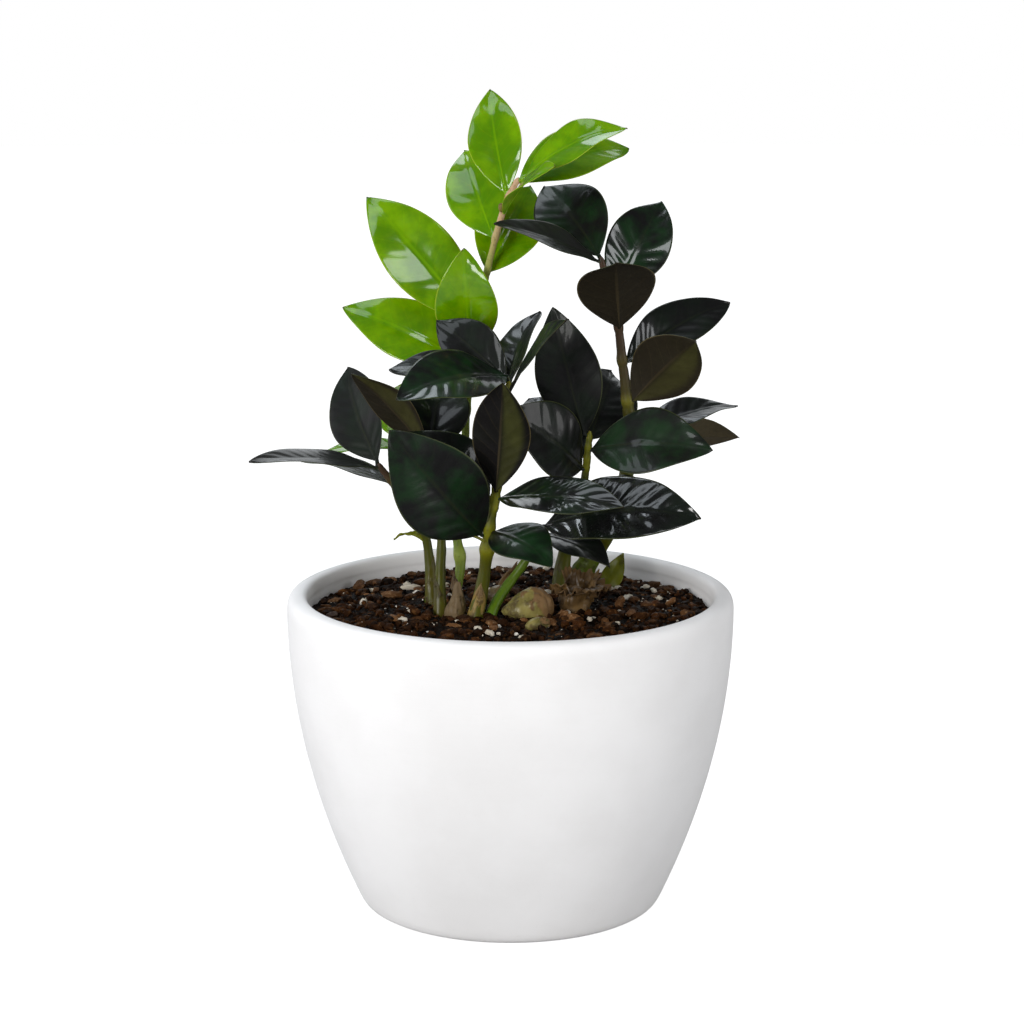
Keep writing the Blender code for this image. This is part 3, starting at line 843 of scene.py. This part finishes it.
def shape_leaflet(name, blade, character, seed, finishes, fullest=FULLEST):
    """A leaflet blade with its stem, laid on the directions in blade."""
    deselect_all()
    rows = BLADE_ROWS + STEM_ROWS
    bpy.ops.mesh.primitive_grid_add(x_subdivisions=rows, y_subdivisions=BLADE_COLUMNS, size=1)
    leaf = named(name)
    flat = points_of(leaf)
    row = (flat[:, 0] + 0.5) * rows - STEM_ROWS
    side = flat[:, 1] * 2
    share = np.clip(row / BLADE_ROWS, 0, 1)
    back = np.clip(-row / STEM_ROWS, 0, 1)
    length, full = blade["length"], blade["half"]
    stem_half = min(STEM_HALF, full * 0.3) * (1 - share) ** 3
    half = np.sqrt((outline(share, fullest) * full) ** 2 + stem_half ** 2)
    height, ribs = blade_heights(share, side, half, blade, character, seed)
    lumps = (noise_at(share * length * 55, side * full * 55, seed * 3.7)
             + 0.12 * noise_at(share * length * 130, side * full * 130, seed * 1.9))
    height = height + lumps * (0.75 if character[2] > 1 else 0.5) * MM * np.sin(np.pi * share)
    chance = random.Random(seed)
    twist = math.radians(9) * (chance.random() - 0.5) * share
    sweep = length * 0.10 * (chance.random() - 0.5) * (share - share ** 2)
    across = np.outer(np.cos(twist), blade["across"]) + np.outer(np.sin(twist), blade["up"])
    upward = np.outer(np.cos(twist), blade["up"]) - np.outer(np.sin(twist), blade["across"])
    to_joint = blade["joint"] - blade["foot"]
    stem_line = (np.outer(back ** 2 - back, blade["along"] * np.linalg.norm(to_joint))
                 + np.outer(back ** 2, to_joint - [0, 0, 1.2 * MM]))
    move_points(leaf, blade["foot"] + np.outer(share * length, blade["along"]) + stem_line
                + across * (side * half + sweep)[:, None] + upward * height[:, None])
    node = blade.get("node")
    olive = np.clip(side * 6, 0, 1) * ease(0.9 - np.abs(side), 0, 0.3) * (node in LIT_HALF)
    add_attribute(leaf, "blade", share, side, ribs)
    add_attribute(leaf, "tone", character[0], character[1], olive)
    usual = YOUNG_POLISH if character is YOUNG else USUAL_POLISH
    add_attribute(leaf, "polish", POLISH.get(node, usual))
    midrib = np.exp(-(side * half / MIDRIB_HALF) ** 2) * (1 - share) ** 0.6
    weight = np.clip(0.20 + 0.55 * midrib + 0.25 * ease(back, 0, 0.4), 0.16, 1)
    thicken(leaf, weight * (1 - 0.35 * ease(np.abs(side), 0.8, 1)), finishes)
    smooth(leaf)
    return leaf


# %% Growing all the leaflets
for number, node in enumerate(leaf_nodes):
    young = node.startswith("lime")
    leaf = shape_leaflet(f"{node}_blade", blades[node], CHARACTER.get(node, YOUNG if young else MATURE),
                         number, (lime_top, lime_under) if young else (dark_top, dark_under))
    finish_piece(leaf, "lime_leaf" if young else "dark_leaf", node)
print("leaflets grown:", len(leaf_nodes), "faces each:", len(leaf.data.polygons))

# %% [markdown]
# ## The tubers' finishes
# The plant stores water in tubers that break the surface. Their skin is tan to olive-beige and
# satiny, with darker scars and flaking papery husk. Sheaths are the same kind of skin in other
# colours, so one recipe and a table serve them all.

# %% Tuber skin and husk
def tuber_skin(name, pale, dark, scar, husk=(0.16, 0.10, 0.05)):
    skin = Finish(name, Specular_IOR_Level=0.22, Coat_Weight=0.05, Coat_Roughness=0.2)
    peel = skin.attribute("peel")[0]
    wide = skin.step(skin.grain(75, 4), 0.35, 0.68)
    fibres = skin.grain(1, 4, skin.place((600, 600, 80)))
    scars = skin.step(skin.grain(170, 5), 0.52, 0.66)
    body = skin.mix(wide, pale, dark)
    fibred = skin.mix(fibres * 0.8, body, (0.62, 0.52, 0.38), "MULTIPLY")
    scarred = skin.mix(scars * 0.75, fibred, scar)
    papery = skin.mix(fibres, husk, tuple(1.9 * c for c in husk))
    colour = skin.mix(peel, scarred, papery)
    relief = skin.bump(fibres * 0.6 + scars, 0.0007, 0.6)
    return skin.surface(Base_Color=colour, Roughness=peel * 0.30 + scars * 0.2 + 0.34, Normal=relief)


# Pale and dark skin, scars and husk
TUBER_SKINS = {
    "tuber_olive": ((0.34, 0.30, 0.10), (0.12, 0.11, 0.030), (0.07, 0.045, 0.018), (0.12, 0.07, 0.028)),
    "tuber_tan": ((0.16, 0.12, 0.05), (0.075, 0.055, 0.026), (0.035, 0.022, 0.012),
                  (0.085, 0.058, 0.028)),
    "husk_paper": ((0.17, 0.105, 0.038), (0.055, 0.032, 0.012), (0.025, 0.014, 0.006),
                   (0.085, 0.048, 0.018)),
    "sheath_olive": ((0.085, 0.080, 0.008), (0.045, 0.042, 0.006), (0.04, 0.028, 0.010),
                     (0.06, 0.05, 0.012)),
    "sheath_peach": ((0.27, 0.19, 0.055), (0.15, 0.12, 0.03), (0.07, 0.045, 0.02), (0.16, 0.10, 0.05)),
    "sheath_green": ((0.085, 0.13, 0.006), (0.05, 0.085, 0.006), (0.04, 0.04, 0.008),
                     (0.06, 0.07, 0.010)),
    "sheath_pale": ((0.20, 0.225, 0.012), (0.11, 0.14, 0.010), (0.09, 0.08, 0.015), (0.12, 0.11, 0.015)),
}
skins = {name: tuber_skin(name, *colours) for name, colours in TUBER_SKINS.items()}
print("finishes:", *skins)

# %% [markdown]
# ## The tubers
# A tuber starts as a ball, is stretched onto the half sizes and lean of its solid, and is knocked
# into lumps by a Displace modifier with a clouds texture. A fine one on top makes its wrinkles.

# %% Swelling the tubers
def measure_lump(node):
    """Middle, directions and half sizes of a rounded solid."""
    points, axes = corners_of(node)
    middle = (points.min(0) + points.max(0)) / 2
    sizes = np.array([np.abs((points - middle) @ axis).max() for axis in axes])
    return middle, axes, sizes


def knock(lump, lumpiness):
    """Knocks a ball into bulges, lumps and wrinkles, each a size of cloud and a share of lumpiness."""
    for label, size, share in (("Bulges", 26, 1.5), ("Lumps", 11, 0.45), ("Wrinkles", 3, 0.12)):
        clouds = bpy.data.textures.new(f"{lump.name}_{label}", "CLOUDS")
        clouds.noise_scale = size * MM
        knocked = lump.modifiers.new(label, "DISPLACE")
        knocked.texture, knocked.strength, knocked.mid_level = clouds, lumpiness * share, 0.55
        knocked.texture_coords = "LOCAL"
    apply_modifiers(lump)


def swell(name, node, skin, lumpiness, seed, peeled=(1, 0, 0), peel_from=0.35, taper=0.0, hump=0.0):
    """A lumpy tuber whose husk still covers the side that faces peeled, past peel_from of its size.
    taper narrows its top, and hump lifts its +X side."""
    middle, axes, sizes = measure_lump(node)
    if np.linalg.det(axes) < 0:
        axes[2] = -axes[2]
    deselect_all()
    bpy.ops.mesh.primitive_ico_sphere_add(subdivisions=5, radius=1)
    lump = named(name)
    ball = points_of(lump)
    rough = (ball * sizes * 0.98) @ axes
    rise = rough[:, 2] / np.abs(rough[:, 2]).max()
    rough[:, :2] *= (1 - taper * ease(rise, -0.2, 1.0))[:, None]
    rough[:, 2] += hump * rough[:, 0] * ease(rise, -0.5, 0.8)
    move_points(lump, rough + middle)
    knock(lump, lumpiness * MM)
    turned = ball @ axes
    ragged = noise_at(*(turned * 3.2 + [seed, 0, 0]).T)
    facing = turned @ unit(np.array(peeled, float))
    peel = ease(facing + ragged * 0.8, peel_from - 0.06, peel_from + 0.06)
    points = points_of(lump)
    outward = np.array([v.normal[:] for v in lump.data.vertices])
    creased = noise_at(*(points * [420, 420, 90]).T)
    move_points(lump, points + outward * (peel * (0.6 + creased * 0.9) * MM)[:, None])
    add_attribute(lump, "peel", peel)
    smooth(lump)
    finish_piece(lump, "tuber", node, finish=skins[skin])


swell("large_tuber", "tuber_large", "tuber_olive", 3.6, 1, (1, -0.1, 0.3), 0.50, 0.15, 0.35)
swell("tan_tuber", "tuber_tan", "tuber_tan", 1.4, 2, (-0.6, -0.8, 0.5), 0.2, 0.55, 0.5)
swell("small_tuber", "tuber_small", "tuber_tan", 1.6, 3)
swell("front_tuber", "tuber_front", "tuber_olive", 1.6, 4, (1, 0, 0.4), 0.7)
swell("stump", "tuber_stump", "husk_paper", 1.6, 5, (0, 0, 1), -0.3)
print("tubers swollen: 5")

# %% [markdown]
# ## Sheaths and husk
# Each stalk comes out of a thin sheath that splits into a point, green when young and papery brown
# when old. A sheath is a strip wrapped part of the way round the stalk, wide at the foot and pointed
# at the top, with a thin wall from Solidify. The husk round the stump is the same strip in torn
# pieces, crumpled more, whose top edges lean out and hang down.

# %% Wrapping a sheath
SHEATH_WALL = 0.5 * MM
SUNK = 4 * MM  # how far below the bed a sheath starts


def wrap_sheath(name, path, height, facing, spread, skin, slot, seed, ragged=0.0, snug=1.10,
                flare=0.0, sunk=SUNK, droop=0.0):
    """A pointed strip round a stem; path is its middles and radii, and facing and spread are degrees.
    flare is how far its top leans out, in radii, and droop how far its top edge hangs back down."""
    middles, radii = path
    deselect_all()
    bpy.ops.mesh.primitive_grid_add(x_subdivisions=40, y_subdivisions=34, size=1)
    strip = named(name)
    across, upward = (points_of(strip)[:, :2] + 0.5).T
    torn = (noise_at(across * 4.5, seed, 0) + 0.5 * noise_at(across * 14, seed, 4)) * ragged * 2.6
    level = SOIL_TOP - sunk + (height + sunk) * upward * (1 + torn)
    centre_x, centre_y, radius = (np.interp(level, middles[:, 2], values)
                                  for values in (middles[:, 0], middles[:, 1], radii))
    level = level - droop * upward ** 3
    narrow = 1 if ragged > 0.2 else np.maximum(1 - upward ** 2.6, 0.03)
    angle = math.radians(facing) + (across - 0.5) * math.radians(spread) * narrow
    crumple = noise_at(across * 5, upward * 3, seed + 0.5)
    pleats = noise_at(across * 9, upward * 2.2, seed + 9.5) * ragged
    folds = 0.35 + crumple * (0.3 + 4 * ragged) + pleats * 6 * (0.4 + upward)
    out = radius * (snug + flare * upward ** 4) + folds * MM
    move_points(strip, np.column_stack(
        [centre_x + out * np.cos(angle), centre_y + out * np.sin(angle), level]))
    add_attribute(strip, "peel", ease(upward + crumple * 0.6, 0.62, 1.05) * (0.5 + ragged))
    wall = strip.modifiers.new("Wall", "SOLIDIFY")
    wall.thickness, wall.offset = SHEATH_WALL, 0
    apply_modifiers(strip)
    smooth(strip, 60)
    finish_piece(strip, slot, finish=skins[skin])


def upright_path(x, y, radius, height, lean):
    """A straight path on the bed, as middles and radii."""
    rise = np.linspace(-8 * MM, height, 8)
    middles = np.column_stack([x + rise * lean[0], y + rise * lean[1], SOIL_TOP + rise])
    return middles, np.full(8, radius)


# %% Sheaths round the stalks
# Height in mm, facing, spread, skin and slot, and where they differ raggedness, snugness and flare
SHEATHS = {
    "front": (17, 250, 190, "sheath_peach", "tuber", 0.05, 1.12),
    "left": (24, -30, 250, "sheath_olive", "olive_stalk"),
    "inner": (18, -150, 250, "sheath_olive", "olive_stalk"),
    "lime": (9, 200, 240, "husk_paper", "tuber", 0.05, 1.3),
    "centre": (17, -120, 240, "sheath_olive", "olive_stalk"),
    "right": (28, -100, 170, "sheath_green", "olive_stalk", 0.0, 1.5, 0.25),
}
for turn, (stalk, (height, facing, spread, skin, slot, *shape)) in enumerate(SHEATHS.items()):
    wrap_sheath(f"sheath_{stalk}_stalk", stalks[f"stalk_{stalk}"], height * MM, facing, spread, skin,
                slot, 3 + 2 * turn, *shape)
print("sheaths wrapped:", len(SHEATHS))

# %% Husk round the stump
stump_x, stump_y = (sum(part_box("tuber_stump"), Vector()) / 2)[:2]
husk_path = upright_path(stump_x, stump_y, 8.2 * MM, 30 * MM, (0.12, 0.1))
# Facing, spread, height in mm, flare, and how far its edge hangs in mm
HUSKS = ((-90, 330, 13, 0.55, 3.0), (-20, 120, 17, 0.95, 5.0), (-150, 110, 15, 0.75, 4.0),
         (70, 140, 18, 0.3, 0.0))
for turn, (facing, spread, height, flare, droop) in enumerate(HUSKS):
    wrap_sheath(f"husk_{turn}", husk_path, height * MM, facing, spread, "husk_paper", "tuber",
                20 + turn, 0.22, 0.92 + 0.05 * turn, flare, -SUNK if turn else SUNK, droop * MM)
behind_path = upright_path(-3 * MM, 46 * MM, 3.5 * MM, 18 * MM, (0.3, 0))
wrap_sheath("husk_behind", behind_path, 12 * MM, -60, 190, "husk_paper", "tuber", 31, 0.12, 1.0, 0.3)
print("husks wrapped:", len(HUSKS) + 1)

# %% [markdown]
# ## The pale sheath, bracts, bud and chip
# Beside the right stalk stands one pale sheath with a point, the front stalk carries a thin bract
# and the left one two dry ones. All are small narrow leaves, so they come from the same shaping as
# the leaflets. A bud on the lime stalk and a pale chip on the bed are balls, knocked about a little.

# %% Sheath and bracts
PALE = (skins["sheath_pale"], skins["sheath_pale"])
pale = measure_blade("sheath")
pale["joint"] = pale["foot"] - pale["along"] * 3 * MM
pale["half"] *= 1.1
pale_sheath = shape_leaflet("pale_sheath", pale, (0.3, 0.0, 0.2, 0.5, 0.0), 90, PALE, 0.55)
finish_piece(pale_sheath, "lime_stalk", "sheath")


def on_stalk(node, height):
    """The middle of a stalk at a height."""
    middles = stalks[node][0]
    return middles[np.abs(middles[:, 2] - height).argmin()]


# Stalk, height above the bed, how far its foot is off the stalk's middle, heading, rise, length,
# half width and fold, in mm and degrees, and then its arch and character
FRESH, DRY = (0.3, 0.0, 0.0, 0.2, 0.0), (0.1, 0.8, 0.0, 0.8, 0.1)
BRACTS = {
    "bract": ("stalk_front", 43, (-3, -3, 0), 175, 8, 15, 1.3, 20, 0.1, FRESH),
    "dry_bract_0": ("stalk_left", 33, (-2, -1, 0), 178, 4, 15, 0.9, 25, 0.16, DRY),
    "dry_bract_1": ("stalk_left", 33, (-2, -1, 0), 150, 24, 8, 0.9, 25, 0.16, DRY),
}
for turn, (name, row) in enumerate(BRACTS.items()):
    stalk, height, offset, heading, rise, length, half, fold, arch, character = row
    joint = on_stalk(stalk, SOIL_TOP + height * MM)
    along = aim(heading, rise)
    across = unit(np.cross([0, 0, 1.0], along))
    blade = {"foot": joint + np.array(offset) * MM, "joint": joint, "along": along, "across": across,
             "up": np.cross(along, across), "length": length * MM, "half": half * MM,
             "arch": arch, "fold": math.radians(fold)}
    finish_piece(shape_leaflet(name, blade, character, 91 + turn, PALE), "olive_stalk")
print("pale sheath and bracts shaped:", 1 + len(BRACTS))


# %% Bud and chip
def place_ball(name, roughness, seed, sizes, place, sharpness, finish, slot):
    """A knobbly ball with half sizes in mm."""
    ball = knobbly_ball(name, 2, roughness, seed)
    move_points(ball, points_of(ball) * np.array(sizes) * MM + place)
    smooth(ball, sharpness)
    finish_piece(ball, slot, finish=finish)


bud_place = on_stalk("stalk_lime", 359 * MM) + [-1.6 * MM, -1.2 * MM, 0]
place_ball("bud", 0.1, 5, (1.5, 1.4, 2.4), bud_place, 180, skins["sheath_peach"], "lime_stalk")
chip_x, chip_y = -53 * MM, 44 * MM
chip_place = [chip_x, chip_y, soil_height(chip_x, chip_y) + 1 * MM]
place_ball("pale_chip", 0.18, 8, (5.5, 2.6, 1.8), chip_place, 50, perlite, "soil")
print("bud and chip at", [[round(v / MM) for v in place] for place in (bud_place, chip_place)], "mm")

# %% [markdown]
# ## Floor, light and camera
# A white studio with a pale floor. One large window-like panel stands at the front left, with a wide
# weak panel on each side, and four soft suns stand for the bright parts of the room. Their
# reflections give the leaflets their highlights. Every highlight but the painted one on the leaflets'
# margins belongs to a light, so it stays true from any side.

# %% The floor and the world
def pale_floor():
    """White to look at, but dull enough that it doesn't shine back from under the leaves."""
    plain = Finish("pale_floor", Specular_IOR_Level=0.0, Roughness=0.9, Emission_Strength=0.88)
    seen = plain.node("LightPath", out="Is Camera Ray")
    faint = plain.mix(plain.grain(3, 2), (0.41, 0.41, 0.41), (0.43, 0.43, 0.43))
    return plain.surface(Base_Color=faint, Emission_Color=plain.mix(seen, (0, 0, 0), (1, 1, 1)))

deselect_all()
bpy.ops.mesh.primitive_circle_add(vertices=96, radius=6, fill_type="NGON")
floor = named("floor")
floor.data.materials.append(pale_floor())

WHITE, SKY = (1, 1, 1), (0.95, 0.97, 1)
world = bpy.data.worlds.new("studio")
world.use_nodes = True
bpy.context.scene.world = world
tree = world.node_tree
tree.nodes.clear()
output = tree.nodes.new("ShaderNodeOutputWorld")
choose = tree.nodes.new("ShaderNodeMixShader")
path = tree.nodes.new("ShaderNodeLightPath")
tree.links.new(path.outputs["Is Camera Ray"], choose.inputs[0])
for socket, colour, strength in ((1, SKY, 0.08), (2, WHITE, 1.0)):
    light = tree.nodes.new("ShaderNodeBackground")
    light.inputs["Color"].default_value = (*colour, 1)
    light.inputs["Strength"].default_value = strength
    tree.links.new(light.outputs[0], choose.inputs[socket])
tree.links.new(choose.outputs[0], output.inputs["Surface"])
print("world:", world.name)


# %% The lights
def add_light(name, kind, energy, colour, shines_from, **settings):
    """A light turned so that it shines from a direction."""
    lamp = bpy.data.lights.new(name, kind)
    lamp.energy, lamp.color = energy, colour
    for setting, value in settings.items():
        setattr(lamp, setting, value)
    holder = add_object(name, lamp)
    holder.rotation_euler = Vector(shines_from).to_track_quat("Z", "Y").to_euler()
    return holder


LIT_POINT = Vector((0, 0, 0.2))
# Place, width and height in metres, watts and colour
PANELS = {
    "window": ((-0.74, -1.25, 0.56), 0.50, 0.60, 15.2, (1, 0.985, 0.975)),
    "left_fill": ((-1.35, 0.2, 0.45), 1.0, 0.9, 6, (0.98, 0.98, 1)),
    "right_fill": ((1.25, -0.6, 0.42), 0.9, 0.9, 8.5, (1, 0.99, 0.99)),
}
for name, (place, width, height, watts, colour) in PANELS.items():
    panel = add_light(name, "AREA", watts, colour, Vector(place) - LIT_POINT,
                      shape="RECTANGLE", size=width, size_y=height)
    panel.location = place
# Heading, rise and softness in degrees, strength and colour
SUNS = {
    "front_pane": (-70, 50, 18, 0.60, (0.96, 0.98, 1)),
    "back_sky": (113, 50, 24, 0.62, (0.86, 0.93, 1)),
    "left_sky": (-170, 62, 28, 0.62, (0.86, 0.93, 1)),
    "backdrop": (86, 24, 36, 0.40, (0.93, 0.97, 1)),
}
for name, (heading, rise, softness, strength, colour) in SUNS.items():
    add_light(name, "SUN", strength, colour, aim(heading, rise), angle=math.radians(softness))
print("lights:", *PANELS, *SUNS)

# %% The camera
CAMERA_TILT = 11.5
camera_data = bpy.data.cameras.new("camera")
camera_data.lens, camera_data.sensor_width = 95, 36
camera_data.clip_start, camera_data.clip_end = 0.05, 50
camera = add_object("camera", camera_data)
camera.location = (0.0008, -1.3562, 0.4806)
camera.rotation_euler = (math.radians(90 - CAMERA_TILT), 0, 0)
bpy.context.scene.camera = camera
bpy.context.scene.view_settings.view_transform = "Standard"
print("camera:", [round(v, 3) for v in camera.location])
